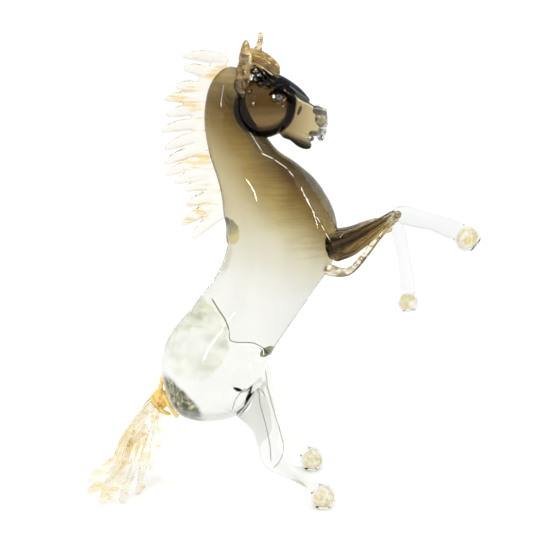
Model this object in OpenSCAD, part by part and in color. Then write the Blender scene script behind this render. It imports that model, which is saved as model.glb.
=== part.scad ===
// Rearing horse, hot-worked solid glass. It stands on its hind hooves and the tips of its tail.
// +X is the way it faces, +Z is up, and the near side is -Y. Millimetres.

/* [Body] */
// Width of the haunch, side to side
haunch_w = 72; // [60:1:88]
// Width of the barrel, side to side
barrel_w = 58; // [48:1:72]
// Depth of the chest, breast to back
chest_depth = 82; // [68:1:90]
// Width of the chest, side to side
chest_w = 60; // [50:1:72]
// Depth of the neck at its middle
neck_depth = 43; // [36:1:52]
// Width of the neck at its middle
neck_w = 34; // [28:1:41]
// Clear glass between the smoke core and the neck's surface, as a share of the neck
casing_share = 0.22; // [0.15:0.01:0.3]
// Gap at the fused skin of the smoke core
core_clearance = 0.05; // [0.02:0.01:0.2]

/* [Head] */
// Diameter of the round cheek, seen from the side
jowl_d = 44; // [37:1:50]
// Width of the head across both cheeks
head_w = 34; // [29:1:40]
// Width of the muzzle, side to side
muzzle_w = 17; // [14:1:20]
// Diameter of an eye
eye_d = 5; // [4:0.2:6]
// Height of the near ear above the crown
ear_h = 20; // [16:1:25]
// Distance of each ear from the middle
ear_spread = 9; // [7:0.5:11]
// Thickness of a forelock strand
forelock_t = 6.4; // [5.2:0.2:7.8]
// Distance between forelock strands
forelock_pitch = 6.6; // [6:0.2:9]

/* [Mane] */
// Number of locks in the mane
mane_locks = 14; // [10:1:14]
// Thickness of a mane lock at its root
mane_t = 8; // [6.4:0.2:9]
// Width of a mane lock, side to side
mane_w = 6; // [5:0.5:8]
// How far the mane's clear ridge stands off the crest
ridge_h = 9; // [7:0.5:11]
// Width of the mane's ridge
ridge_w = 7; // [5.5:0.5:9]
// Scale of every lock's length
mane_reach = 1; // [0.8:0.05:1.2]

/* [Legs] */
// Distance between the middles of the hind hooves
hind_stance = 70; // [58:1:84]
// Distance between the middles of the fore hooves
fore_stance = 30; // [25:1:36]
// Thickness of a hind shank
hind_shank_t = 10; // [8:0.5:12]
// Thickness of a fore shank
fore_shank_t = 13; // [10.5:0.5:15]
// Thickness of a forearm where it leaves the chest
forearm_t = 28; // [23:1:33]

/* [Hooves] */
// Diameter of a hind hoof
hind_hoof_d = 20; // [17:1:24]
// Height of a hind hoof
hind_hoof_h = 20; // [17:1:24]
// Diameter of the near fore hoof
near_fore_hoof_d = 20; // [17:1:24]
// Diameter of the far fore hoof
far_fore_hoof_d = 17; // [14:1:20]

/* [Tail] */
// Diameter of the tail's knot
tail_knot_d = 17; // [14:1:20]
// Thickness of a tail lock
tail_t = 8.6; // [7.2:0.2:10.2]
// Spread of the tail's tips, side to side
tail_spread = 62; // [52:1:74]

/* [Quality] */
// Sides of the large lofted pieces
body_sides = 28; // [20:4:36]
// Sides of the locks and strands
lock_sides = 10; // [8:1:14]

/* [Hidden] */

// ---- Curve and loft functions -------------------------------------------------------------
// A station is [x, y, z, a, b]: a point on a centre line, the half size a of the section in the
// upright plane of the line, and its half size b across.

function unit(v) = v / norm(v);
function mix(p, q, f) = p + (q - p) * f;

// Catmull-Rom blend of four neighbouring stations.
function blend4(p, q, r, s, f) =
    0.5 * (2 * q + (r - p) * f + (2 * p - 5 * q + 4 * r - s) * f * f
    + (3 * q - p - 3 * r + s) * f * f * f);

// Station at place s (0 at the first station, 1 at the second and so on).
function along(list, s) =
    let(n = len(list), i = min(max(floor(s), 0), n - 2))
    let(p = i > 0 ? list[i - 1] : 2 * list[0] - list[1])
    let(q = i + 2 < n ? list[i + 2] : 2 * list[n - 1] - list[n - 2])
    blend4(p, list[i], list[i + 1], q, s - i);

function place(st) = [st[0], st[1], st[2]];
function heading(list, s) =
    unit(place(along(list, s + 0.02)) - place(along(list, s - 0.02)));

// Share of the full section left at distance d from an end that is rounded over length e.
function dome(d, e) = e <= 0 ? 1 : sqrt(max(0, 1 - pow(1 - min(d / e, 1), 2)));

// Directions of a section: across is level with Y, inward lies in the plane of the line.
function across(t) = unit([0, 1, 0] - t[1] * t);
function inward(t) = cross(across(t), t);

function section(list, s, grow, sides) =
    let(st = along(list, s), t = heading(list, s), u = inward(t), v = across(t))
    [for (k = [0:sides - 1])
        place(st) + grow * (st[3] * cos(360 * k / sides) * u + st[4] * sin(360 * k / sides) * v)];

// Solid swept through the stations from place s0 to s1. An end with a dome of 0 is cut flat.
module loft(list, s0, s1, steps, sides, dome0 = 0, dome1 = 0, grow = 1) {
    first = dome0 > 0 ? 1 : 0;
    last = dome1 > 0 ? steps - 1 : steps;
    places = [for (j = [first:last]) s0 + (s1 - s0) * (1 - cos(180 * j / steps)) / 2];
    rings = len(places);
    skin = [for (s = places)
        each section(list, s, grow * dome(s - s0, dome0) * dome(s1 - s, dome1), sides)];
    start = rings * sides;
    points = concat(skin, [place(along(list, s0)), place(along(list, s1))]);
    walls = [for (j = [0:rings - 2], k = [0:sides - 1])
        let(m = (k + 1) % sides)
        each [[j * sides + k, (j + 1) * sides + m, j * sides + m],
              [j * sides + k, (j + 1) * sides + k, (j + 1) * sides + m]]];
    ends = [for (k = [0:sides - 1])
        let(m = (k + 1) % sides)
        each [[start, k, m], [start + 1, (rings - 1) * sides + m, (rings - 1) * sides + k]]];
    polyhedron(points, concat(walls, ends));
}

// The first child with the others cut away, as one mesh.
module trim() {
    resize([0, 0, 0])
    difference() {
        children(0);
        children([1:$children - 1]);
    }
}

// ---- Body ---------------------------------------------------------------------------------
// The spine runs from under the haunch, through barrel and chest, up the neck to the poll.
spine = [
    [-54, 0, 60, 29, haunch_w * 0.40],
    [-53, 0, 78, 33, haunch_w * 0.46],
    [-49, 0, 103, 40, haunch_w / 2],
    [-34, 0, 131, 35, mix(haunch_w, barrel_w, 0.6) / 2],
    [-16, 0, 158, 34, barrel_w / 2],
    [-4, 0, 181, 37, barrel_w / 2],
    [3.2, 0, 202, chest_depth * 0.51, chest_w / 2],
    [-1.3, 0, 221, chest_depth * 0.49, chest_w * 0.48],
    [-10.8, 0, 239, mix(chest_depth, neck_depth, 0.36) / 2, mix(chest_w, neck_w, 0.4) / 2],
    [-21, 0, 256, mix(chest_depth, neck_depth, 0.8) / 2, mix(chest_w, neck_w, 0.8) / 2],
    [-30, 0, 274, neck_depth / 2, neck_w / 2],
    [-34, 0, 291, neck_depth * 0.46, neck_w * 0.42],
    [-32, 0, 307, neck_depth * 0.46, neck_w * 0.37],
    [-27, 0, 331, neck_depth * 0.42, neck_w * 0.3]
];
spine_end = len(spine) - 1;
// Place where the clear gather meets the smoke gather.
girth = 5.5;
haunch_dome = 0.75;
poll_dome = 0.95;
// The smoke core fills the neck gather from the girth up to below the jowl.
core_to = 10.2;
core_dome = 1.6;

module haunch_shape() {
    loft(spine, 0, girth, 18, body_sides, haunch_dome, 0);
}

module neck_shape() {
    loft(spine, girth, spine_end, 20, body_sides, 0, poll_dome);
}

// The whole trunk, in the same facets as its two gathers, so that bits laid on it fit both.
module body_shape() {
    haunch_shape();
    neck_shape();
}

module body_gather() {
    color([0.88, 0.89, 0.82, 0.5])
    haunch_shape();
}

module core_shape(gap) {
    loft(spine, girth, core_to, 12, body_sides, 0, core_dome,
        1 - casing_share + gap * 2 / neck_w);
}

module neck_gather() {
    color([0.62, 0.52, 0.36, 0.5])
    trim() {
        neck_shape();
        core_shape(core_clearance);
        jowl_shape();
        face_shape();
    }
}

module smoke_core() {
    color([0.34, 0.24, 0.12, 0.8])
    core_shape(0);
}

// ---- Head ---------------------------------------------------------------------------------
jowl_at = [-10.5, 0, 300.5];
jowl_r = jowl_d / 2;

// An egg: a ball squeezed to half width b, as a loft along Y so that it stays smooth.
module jowl_shape() {
    turns = 12;
    points = [for (j = [1:turns - 1], k = [0:body_sides - 1])
        jowl_at + [jowl_r * sin(180 * j / turns) * cos(360 * k / body_sides),
            -head_w / 2 * cos(180 * j / turns),
            jowl_r * sin(180 * j / turns) * sin(360 * k / body_sides)]];
    poles = [jowl_at - [0, head_w / 2, 0], jowl_at + [0, head_w / 2, 0]];
    start = (turns - 1) * body_sides;
    walls = [for (j = [0:turns - 3], k = [0:body_sides - 1])
        let(m = (k + 1) % body_sides)
        each [[j * body_sides + k, j * body_sides + m, (j + 1) * body_sides + m],
              [j * body_sides + k, (j + 1) * body_sides + m, (j + 1) * body_sides + k]]];
    ends = [for (k = [0:body_sides - 1])
        let(m = (k + 1) % body_sides)
        each [[start, m, k],
              [start + 1, (turns - 2) * body_sides + k, (turns - 2) * body_sides + m]]];
    polyhedron(concat(points, poles), concat(walls, ends));
}

// Forehead and nose, from the poll down to where the clear muzzle is set on.
nose = [
    [-22, 0, 313, 10, head_w * 0.34],
    [-9, 0, 309, 17, head_w * 0.46],
    [5, 0, 302, 20, head_w * 0.44],
    [15, 0, 294.5, 17.5, mix(head_w, muzzle_w, 0.6) / 2],
    [23, 0, 291, 13.5, muzzle_w * 0.5],
    [30, 0, 287, 12, muzzle_w * 0.5],
    [35, 0, 284, 9, muzzle_w * 0.44]
];
muzzle_joint = 4.15;
nose_end = len(nose) - 1;

module nose_shape() {
    loft(nose, 0, nose_end, 18, 24, 0.8, 0.9);
}

module face_shape() {
    loft(nose, 0, muzzle_joint, 12, 24, 0.8, 0);
}

jaw = [
    [2, 0, 283, 5, muzzle_w * 0.42],
    [10, 0, 279.5, 6, muzzle_w * 0.42],
    [17, 0, 275.5, 5.6, muzzle_w * 0.38],
    [22.5, 0, 272, 4.4, muzzle_w * 0.3]
];

module jowl() {
    color([0.45, 0.36, 0.24, 0.7])
    jowl_shape();
}

module face() {
    color([0.3, 0.27, 0.22, 0.7])
    trim() {
        face_shape();
        jowl_shape();
    }
}

module muzzle() {
    color([0.85, 0.84, 0.8, 0.4])
    loft(nose, muzzle_joint, nose_end, 7, 24, 0, 0.9);
}

module lower_jaw() {
    color([0.66, 0.58, 0.42, 0.5])
    trim() {
        loft(jaw, 0, 3, 10, 16, 0.6, 0.8);
        jowl_shape();
        nose_shape();
    }
}

eye_at = [2, -head_w * 0.40, 309];

// A bead of glass set half way into the head; side is -1 near and 1 far.
module eye(side) {
    color([0.1, 0.1, 0.1])
    trim() {
        translate([eye_at[0], side * -eye_at[1], eye_at[2]]) sphere(d = eye_d, $fn = 20);
        face_shape();
        jowl_shape();
    }
}

nostril_at = [32.5, muzzle_w * 0.34, 292];
nostril_d = 5.4;

module nostril(side) {
    color([0.85, 0.85, 0.82, 0.4])
    trim() {
        translate([nostril_at[0], side * nostril_at[1], nostril_at[2]])
            sphere(d = nostril_d, $fn = 20);
        nose_shape();
    }
}

// ---- Crown, ears and forelock -------------------------------------------------------------
crown_z = 331;

crown = [
    [-24, 0, crown_z - 14, 6, ear_spread + 1],
    [-23, 0, crown_z - 4, 6, ear_spread],
    [-21.5, 0, crown_z + 8, 5, ear_spread * 0.6]
];

module crown_shape() {
    loft(crown, 0, 2, 10, 18, 0.7, 0.9);
}

module crown_bit() {
    color([0.93, 0.85, 0.62, 0.6])
    trim() {
        crown_shape();
        body_shape();
        face_shape();
        jowl_shape();
    }
}

ears = [
    [
        [-24, -ear_spread, crown_z - 14, 4.4, 4],
        [-23.5, -ear_spread - 0.5, crown_z, 4.2, 3.6],
        [-23, -ear_spread - 1, crown_z + ear_h / 2, 3.4, 2.8],
        [-22.4, -ear_spread - 1, crown_z + ear_h, 1, 0.9]
    ],
    [
        [-22, ear_spread, crown_z - 8, 4, 4],
        [-19.5, ear_spread + 0.5, crown_z + ear_h * 0.3, 3.6, 3],
        [-15, ear_spread + 1, crown_z + ear_h * 0.75, 2.8, 2.6],
        [-12, ear_spread + 1, crown_z + ear_h * 1.15, 1, 0.9]
    ]
];

module ear_shape(n) {
    loft(ears[n], 0, 3, 14, lock_sides, 0.5, 0.3);
}

module ear(n) {
    color([0.86, 0.7, 0.36, 0.7])
    trim() {
        ear_shape(n);
        crown_shape();
        body_shape();
        face_shape();
        jowl_shape();
    }
}

forelocks = 3;
// The far strands of the forelock lie a little higher than the near ones.
forelock_rise = 2.6;

function forelock_line(n) =
    let(y = (n - 1) * forelock_pitch, r = forelock_t / 2, up = (n - 1) * forelock_rise)
    [
        [-21, y * 0.6, crown_z + 7 + up, r * 0.8, r * 0.8],
        [-12, y * 0.9, crown_z + 4 + up, r, r],
        [-4, y, crown_z - 1.5 + up, r, r],
        [2, y * 0.8, crown_z - 6 + up, r * 0.8, r * 0.8]
    ];

module forelock_shape(n) {
    loft(forelock_line(n), 0, 3, 12, lock_sides, 0.3, 0.3);
}

module forelock(n) {
    color([0.95, 0.86, 0.6, 0.6])
    trim() {
        forelock_shape(n);
        crown_shape();
        body_shape();
        face_shape();
        ear_shape(0);
        ear_shape(1);
        if (n > 0) forelock_shape(n - 1);
    }
}

// ---- Mane ---------------------------------------------------------------------------------
mane_top = spine_end - 0.1;
mane_foot = 7.75;
ridge_sink = 2;
ridge_steps = 14;

// Point on the crest of the neck at place s of the spine, and the way out from it.
function crest(s) =
    let(st = along(spine, s))
    place(st) - st[3] * dome(spine_end - s, poll_dome) * inward(heading(spine, s));
function crest_out(s) = cross(unit(crest(s + 0.04) - crest(s - 0.04)), [0, 1, 0]);

function ridge_line() =
    [for (n = [0:ridge_steps])
        let(s = mix(mane_top, mane_foot, n / ridge_steps))
        let(p = crest(s) + (ridge_h - ridge_sink) / 2 * crest_out(s))
        [p[0], 0, p[2], (ridge_h + ridge_sink) / 2, ridge_w / 2]];

module ridge_shape() {
    loft(ridge_line(), 0, ridge_steps, 28, lock_sides, 0.8, 0.8);
}

module mane_ridge() {
    color([0.95, 0.94, 0.9, 0.5])
    trim() {
        ridge_shape();
        body_shape();
        crown_shape();
    }
}

// Reach of each lock from the ridge, and how far it droops below level, top to foot.
mane_lengths = [25, 14, 14, 21, 18, 23, 22, 25, 27, 22, 17, 18, 25, 21];
mane_droops = [-8, -17, -10, -2, 6, 9, 16, 18, 15, 9, 9, 15, 27, 40];
// Share of a lock's root that sits inside the ridge.
lock_sink = 3;

function lock_line(n) =
    let(f = n / (mane_locks - 1), s = mix(mane_top - 0.05, mane_foot + 0.12, f))
    let(root = crest(s) + (ridge_h - lock_sink) * crest_out(s))
    let(reach = mane_lengths[n] * mane_reach + lock_sink)
    let(droop = mane_droops[n])
    let(way = [-cos(droop), 0, -sin(droop)], up = [-sin(droop), 0, cos(droop)])
    let(sway = 1.6 * sin(150 * n))
    [
        concat(root, [mane_t * 0.5, mane_w * 0.5]),
        concat(root + reach * 0.35 * way + 1.2 * up + [0, sway * 0.5, 0],
            [mane_t * 0.46, mane_w * 0.5]),
        concat(root + reach * 0.7 * way + 0.6 * up + [0, sway, 0],
            [mane_t * 0.36, mane_w * 0.42]),
        concat(root + reach * way - 1 * up + [0, sway * 1.2, 0],
            [mane_t * 0.22, mane_w * 0.3])
    ];

module lock_shape(n) {
    loft(lock_line(n), 0, 3, 9, lock_sides, 0, 0.35);
}

module mane_lock(n) {
    color([0.96, 0.88, 0.68, 0.6])
    trim() {
        lock_shape(n);
        ridge_shape();
        body_shape();
        crown_shape();
    }
}

// ---- Hind legs ----------------------------------------------------------------------------
// Hooves are turned shapes with a flat sole, so each stands on a true plane.
module hoof_shape(d, h) {
    r = d / 2;
    rotate_extrude($fn = 32)
    intersection() {
        hull() {
            translate([0, h * 0.4]) circle(r, $fn = 32);
            translate([0, h * 0.72]) circle(r * 0.56, $fn = 32);
        }
        square([r, h]);
    }
}

hind_y = hind_stance / 2;
near_hind_x = 35;
far_hind_x = 28;

function hind_line(side) =
    let(x = side < 0 ? 0 : -4, y = side * hind_y, w = side * haunch_w / 2)
    [
        [-42, w * 0.42, 112, 22, 15],
        [-30, w * 0.66, 96, 20, 14],
        [-17 + x * 0.4, mix(w, y, 0.7) * 0.92, 80, 14, 11.5],
        [-11 + x * 0.6, y * 0.97, 66, 9, 9],
        [-8 + x, y, 50, 7.2, 7.5],
        [-3 + x, y, 37, 7, 6.6],
        [9 + x, y, 30, hind_shank_t / 2, hind_shank_t / 2],
        [(side < 0 ? near_hind_x : far_hind_x) - 8, y, 17, hind_shank_t / 2, hind_shank_t / 2],
        [side < 0 ? near_hind_x : far_hind_x, y, hind_hoof_h * 0.5, hind_shank_t / 2,
            hind_shank_t / 2]
    ];
hock = 5.1;

module hind_hoof_shape(side) {
    translate([side < 0 ? near_hind_x : far_hind_x, side * hind_y, 0])
        hoof_shape(hind_hoof_d, hind_hoof_h);
}

module thigh(side) {
    color([0.9, 0.91, 0.86, 0.45])
    trim() {
        loft(hind_line(side), 0, hock, 18, 20, 0.9, 0);
        body_shape();
    }
}

module hind_shank(side) {
    color([0.95, 0.96, 0.95, 0.4])
    trim() {
        loft(hind_line(side), hock, 8, 9, 20, 0, 0);
        hind_hoof_shape(side);
    }
}

module hind_hoof(side) {
    color([0.9, 0.72, 0.32, 0.8])
    hind_hoof_shape(side);
}

// ---- Forelegs -----------------------------------------------------------------------------
fore_y = fore_stance / 2;
forearm_r = forearm_t / 2;

// The near foreleg reaches forward, the far one hangs from its knee.
// How far forward the forearms are rooted, inside the breast.
fore_root = chest_depth * 0.41;
near_fore_line = [
    [fore_root, -fore_y * 0.8, 188, forearm_r, 10],
    [50, -fore_y * 0.95, 196, forearm_r * 1.04, 8.5],
    [61.5, -fore_y, 206.3, forearm_r * 0.74, 6.5],
    [75.5, -fore_y, 218, forearm_r * 0.38, 5.6],
    [89, -fore_y, 224.5, fore_shank_t / 2, fore_shank_t * 0.48],
    [102, -fore_y, 221.5, fore_shank_t * 0.53, fore_shank_t * 0.48],
    [114, -fore_y, 218.5, fore_shank_t * 0.48, fore_shank_t * 0.45],
    [125, -fore_y, 214.5, fore_shank_t * 0.54, fore_shank_t * 0.47],
    [137, -fore_y, 209, fore_shank_t * 0.54, fore_shank_t * 0.47]
];
far_fore_line = [
    [fore_root, fore_y * 0.8, 197, forearm_r * 0.7, 10],
    [50, fore_y * 0.95, 200, forearm_r * 0.66, 8],
    [66, fore_y, 206, forearm_r * 0.52, 6],
    [79, fore_y, 212, forearm_r * 0.4, 5.4],
    [88, fore_y, 211, fore_shank_t * 0.44, 5.4],
    [92, fore_y, 202, fore_shank_t * 0.43, fore_shank_t * 0.43],
    [95.5, fore_y, 187, fore_shank_t * 0.39, fore_shank_t * 0.4],
    [98, fore_y, 172, fore_shank_t * 0.41, fore_shank_t * 0.4],
    [100, fore_y, 153, fore_shank_t * 0.46, fore_shank_t * 0.42]
];
knee = 4;

module near_fore_hoof_shape() {
    translate([144, -fore_y, 203]) rotate([0, -52, 0])
        translate([0, 0, -2]) hoof_shape(near_fore_hoof_d, near_fore_hoof_d);
}

module far_fore_hoof_shape() {
    translate([101, fore_y, 141.5]) rotate([0, -8, 0])
        hoof_shape(far_fore_hoof_d, far_fore_hoof_d);
}

module near_forearm() {
    color([0.5, 0.38, 0.2, 0.7])
    trim() {
        loft(near_fore_line, 0, knee, 12, 20, 0.4, 0);
        body_shape();
    }
}

module far_forearm() {
    color([0.5, 0.38, 0.2, 0.7])
    trim() {
        loft(far_fore_line, 0, knee, 12, 20, 0.4, 0);
        body_shape();
    }
}

module near_fore_shank() {
    color([0.95, 0.96, 0.95, 0.4])
    trim() {
        loft(near_fore_line, knee, 8, 10, 20, 0, 0);
        near_fore_hoof_shape();
    }
}

module far_fore_shank() {
    color([0.95, 0.96, 0.95, 0.4])
    trim() {
        loft(far_fore_line, knee, 8, 10, 20, 0, 0);
        far_fore_hoof_shape();
    }
}

module near_fore_hoof() {
    color([0.9, 0.72, 0.32, 0.8])
    near_fore_hoof_shape();
}

module far_fore_hoof() {
    color([0.9, 0.72, 0.32, 0.8])
    far_fore_hoof_shape();
}

// ---- Tail ---------------------------------------------------------------------------------
tail_locks = 7;
knot_r = tail_knot_d / 2;
knot = [
    [-86, 0, 97, knot_r * 0.35, knot_r * 0.35],
    [-86.5, 0, 86, knot_r * 0.6, knot_r * 0.7],
    [-87, 0, 76, knot_r, knot_r * 1.1],
    [-88.5, 0, 67, knot_r * 0.6, knot_r * 0.7]
];

module knot_shape() {
    loft(knot, 0, 3, 14, 20, 0.4, 0.6);
}

module tail_knot() {
    color([0.9, 0.64, 0.2, 0.85])
    trim() {
        knot_shape();
        body_shape();
    }
}

// Each lock: its tip [x, share of the spread, z], how far it bows (back, or forward if negative),
// and its thickness.
tail_tips = [
    [-146.3, -0.22, -0.6, -9.5, 1],
    [-134, -0.5, -0.6, -6, 0.95],
    [-119, -0.46, -0.6, -2.5, 0.9],
    [-108, -0.2, -0.6, -1, 0.82],
    [-99.5, 0.06, 11, 1.5, 0.62],
    [-94, 0.18, 24, 0, 0.5],
    [-131, 0.42, -0.6, -5, 0.95]
];

function tail_line(n) =
    let(tip = tail_tips[n], y = tip[1] * tail_spread, r = tail_t / 2 * tip[4], bow = tip[3])
    let(root = [-89, y * 0.1, 76], drop = root[2] - tip[2])
    [
        [root[0], root[1], root[2], r * 0.9, r * 0.9],
        [mix(root[0], tip[0], 0.32) - bow * 0.8, y * 0.42, root[2] - drop * 0.14, r * 1.2, r * 1.1],
        [mix(root[0], tip[0], 0.58) - bow * 0.85, y * 0.75, root[2] - drop * 0.42, r * 1.2, r * 1.1],
        [mix(root[0], tip[0], 0.78) - bow * 0.9, y * 0.92, root[2] - drop * 0.72, r * 0.95, r * 0.95],
        [tip[0], y, tip[2], r * 0.6, r * 0.6]
    ];

module tail_shape(n) {
    loft(tail_line(n), 0, 4, 13, lock_sides, 0.3, 0.25);
}

module tail_lock(n) {
    color([0.93, 0.74, 0.38, 0.7])
    trim() {
        tail_shape(n);
        knot_shape();
        body_shape();
        for (m = [0:1:n - 1]) tail_shape(m);
        translate([-200, -100, -20]) cube([200, 200, 20]);
    }
}

// ---- Nodes --------------------------------------------------------------------------------
function two(n) = n < 10 ? str("0", n) : str(n);

body_gather();
neck_gather();
smoke_core();
jowl();
face();
muzzle();
lower_jaw();
eye(-1);  // near_eye
eye(1);  // far_eye
nostril(-1);  // near_nostril
nostril(1);  // far_nostril
crown_bit();
ear(0);  // near_ear
ear(1);  // far_ear
for (n = [1:forelocks]) forelock(n - 1);
mane_ridge();
for (n = [1:mane_locks])
    mane_lock(n - 1);
near_forearm();
far_forearm();
near_fore_shank();
far_fore_shank();
near_fore_hoof();
far_fore_hoof();
thigh(-1);  // near_thigh
thigh(1);  // far_thigh
hind_shank(-1);  // near_hind_shank
hind_shank(1);  // far_hind_shank
hind_hoof(-1);  // near_hind_hoof
hind_hoof(1);  // far_hind_hoof
tail_knot();
for (n = [1:tail_locks]) tail_lock(n - 1);
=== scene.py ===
import math

import bpy
import numpy as np
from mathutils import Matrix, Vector


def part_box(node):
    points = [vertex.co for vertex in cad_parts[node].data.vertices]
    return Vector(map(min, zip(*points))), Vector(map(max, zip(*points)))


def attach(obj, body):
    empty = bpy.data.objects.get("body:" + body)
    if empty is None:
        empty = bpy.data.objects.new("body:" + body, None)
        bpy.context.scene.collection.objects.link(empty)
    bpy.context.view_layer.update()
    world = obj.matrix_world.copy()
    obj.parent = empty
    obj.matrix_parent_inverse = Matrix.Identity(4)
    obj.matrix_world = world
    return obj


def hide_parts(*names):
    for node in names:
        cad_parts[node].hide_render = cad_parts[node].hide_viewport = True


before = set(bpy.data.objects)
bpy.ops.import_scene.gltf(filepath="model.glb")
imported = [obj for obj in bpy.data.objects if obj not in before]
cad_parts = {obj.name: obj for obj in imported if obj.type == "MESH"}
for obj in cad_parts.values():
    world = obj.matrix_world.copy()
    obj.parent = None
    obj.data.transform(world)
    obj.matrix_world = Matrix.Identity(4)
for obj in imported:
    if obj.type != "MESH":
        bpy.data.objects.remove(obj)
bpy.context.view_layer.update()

# A rearing horse in solid glass. Lengths below are millimetres in the CAD model's frame and are
# turned into metres once, where a mesh is made. +X is the way the horse faces, the near side is -Y.

MM = 0.001


def box_mm(node):
    """Lowest and highest corner of a CAD node, in millimetres."""
    low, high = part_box(node)
    return np.array(low) / MM, np.array(high) / MM


# ---- Driving sizes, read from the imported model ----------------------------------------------

HAUNCH_HALF = (box_mm("body_gather")[1] - box_mm("body_gather")[0])[1] / 2
CHEST_HALF = (box_mm("neck_gather")[1] - box_mm("neck_gather")[0])[1] / 2
HEAD_HALF = (box_mm("jowl")[1] - box_mm("jowl")[0])[1] / 2
NEAR_HOOF = sum(box_mm("near_hind_hoof")) / 2
FAR_HOOF = sum(box_mm("far_hind_hoof")) / 2
HOOF_RADIUS = (box_mm("near_hind_hoof")[1] - box_mm("near_hind_hoof")[0])[0] / 2
NEAR_FORE_HOOF = sum(box_mm("near_fore_hoof")) / 2
FAR_FORE_HOOF = sum(box_mm("far_fore_hoof")) / 2
NEAR_FORE_Y = NEAR_FORE_HOOF[1]
FAR_FORE_Y = FAR_FORE_HOOF[1]


# ---- Surfaces -------------------------------------------------------------------------------

def along(stations, s):
    """Catmull-Rom curve through the rows of stations at every place in the array s.

    Place 0 is the first row. Each value is half of: twice the row before, plus f times the
    difference of its neighbours, plus the usual square and cube terms of f.
    """
    rows = np.asarray(stations, float)
    rows = np.vstack([2 * rows[0] - rows[1], rows, 2 * rows[-1] - rows[-2]])
    s = np.asarray(s, float)
    i = np.clip(np.floor(s).astype(int), 0, len(rows) - 4)
    f = (s - i)[:, None]
    p, q, r, t = rows[i], rows[i + 1], rows[i + 2], rows[i + 3]
    return 0.5 * (2 * q + (r - p) * f + (2 * p - 5 * q + 4 * r - t) * f ** 2
                  + (3 * q - p - 3 * r + t) * f ** 3)


def unit(v):
    return v / np.linalg.norm(v, axis=-1, keepdims=True)


def section_axes(stations, s):
    """Unit vectors at each place: along the line, across it (level, near +Y), and in its plane."""
    step = 0.02
    way = unit(along(stations, s + step)[:, :3] - along(stations, s - step)[:, :3])
    across = np.array([0.0, 1.0, 0.0]) - way[:, 1:2] * way
    across = unit(across)
    return way, across, np.cross(across, way)


def rounded(distance, length):
    """Quarter-circle fall to nothing over the given length from an end."""
    if length <= 0:
        return np.ones_like(distance)
    return np.sqrt(np.clip(1 - (1 - np.clip(distance / length, 0, 1)) ** 2, 0, 1))


def tube_faces(rings, sides):
    """Four-sided walls between rings of points, and a fan from each end's middle point."""
    ring, side = np.meshgrid(np.arange(rings - 1), np.arange(sides), indexing="ij")
    turn = (side + 1) % sides
    walls = np.stack([ring * sides + side, ring * sides + turn,
                      (ring + 1) * sides + turn, (ring + 1) * sides + side], -1).reshape(-1, 4)
    k = np.arange(sides)
    m = (k + 1) % sides
    start, top = rings * sides, (rings - 1) * sides
    caps = np.vstack([np.stack([np.full(sides, start), m, k], -1),
                      np.stack([np.full(sides, start + 1), top + k, top + m], -1)])
    return walls, caps


def loft(stations, rings, sides, dome0=0.0, dome1=0.0, shape=None):
    """Closed surface swept along a line of stations [x, y, z, a, b].

    A point is the line's place, plus a cos(angle) in the line's plane, plus b sin(angle) across,
    with a and b shrunk by a quarter circle at a domed end. shape(s, angle) scales each point's
    distance from the line. Returns points, walls and end caps.
    """
    last_place = len(stations) - 1
    first = 1 if dome0 > 0 else 0
    last = rings - 1 if dome1 > 0 else rings
    share = (1 - np.cos(math.pi * np.arange(first, last + 1) / rings)) / 2
    s = last_place * share
    rows = along(stations, s)
    way, across, inward = section_axes(stations, s)
    size = rounded(s, dome0) * rounded(last_place - s, dome1)
    angle = 2 * math.pi * np.arange(sides) / sides
    grow = size[:, None] * np.ones(sides)
    if shape is not None:
        grow = grow * shape(s[:, None], angle[None, :])
    out = (rows[:, None, :3]
           + (grow * rows[:, 3:4] * np.cos(angle))[..., None] * inward[:, None, :]
           + (grow * rows[:, 4:5] * np.sin(angle))[..., None] * across[:, None, :])
    ends = along(stations, np.array([0, last_place], float))[:, :3]
    points = np.vstack([out.reshape(-1, 3), ends])
    return points, *tube_faces(len(s), sides)


def egg(middle, half, rings=24, sides=40, power=1.0):
    """Ball stretched to the half sizes (x, y, z); a power under 1 flattens its two sides.

    The point at angles p from the near pole and t round it is the middle plus half x and z times
    sin(p) to the power, and half y times -cos(p).
    """
    p = math.pi * np.arange(1, rings) / rings
    t = 2 * math.pi * np.arange(sides) / sides
    reach = np.sin(p) ** power
    out = np.stack([half[0] * reach[:, None] * np.cos(t),
                    np.broadcast_to((-half[1] * np.cos(p))[:, None], (rings - 1, sides)),
                    half[2] * reach[:, None] * np.sin(t)], -1) + np.asarray(middle, float)
    poles = np.asarray(middle, float) + np.array([[0, -half[1], 0], [0, half[1], 0]])
    points = np.vstack([out.reshape(-1, 3), poles])
    # These rings run from top to foot, so each face is turned over about its first corner.
    walls, caps = (np.roll(f[:, ::-1], 1, axis=1) for f in tube_faces(rings - 1, sides))
    return points, walls, caps


def joined(*surfaces):
    """Several surfaces as one set of arrays."""
    points, walls, caps, base = [], [], [], 0
    for p, w, c in surfaces:
        points.append(p)
        walls.append(w + base)
        caps.append(c + base)
        base += len(p)
    return np.vstack(points), np.vstack(walls), np.vstack(caps)


def stand(name, data):
    """A new object of the data, put into the scene."""
    thing = bpy.data.objects.new(name, data)
    bpy.context.scene.collection.objects.link(thing)
    return thing


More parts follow.
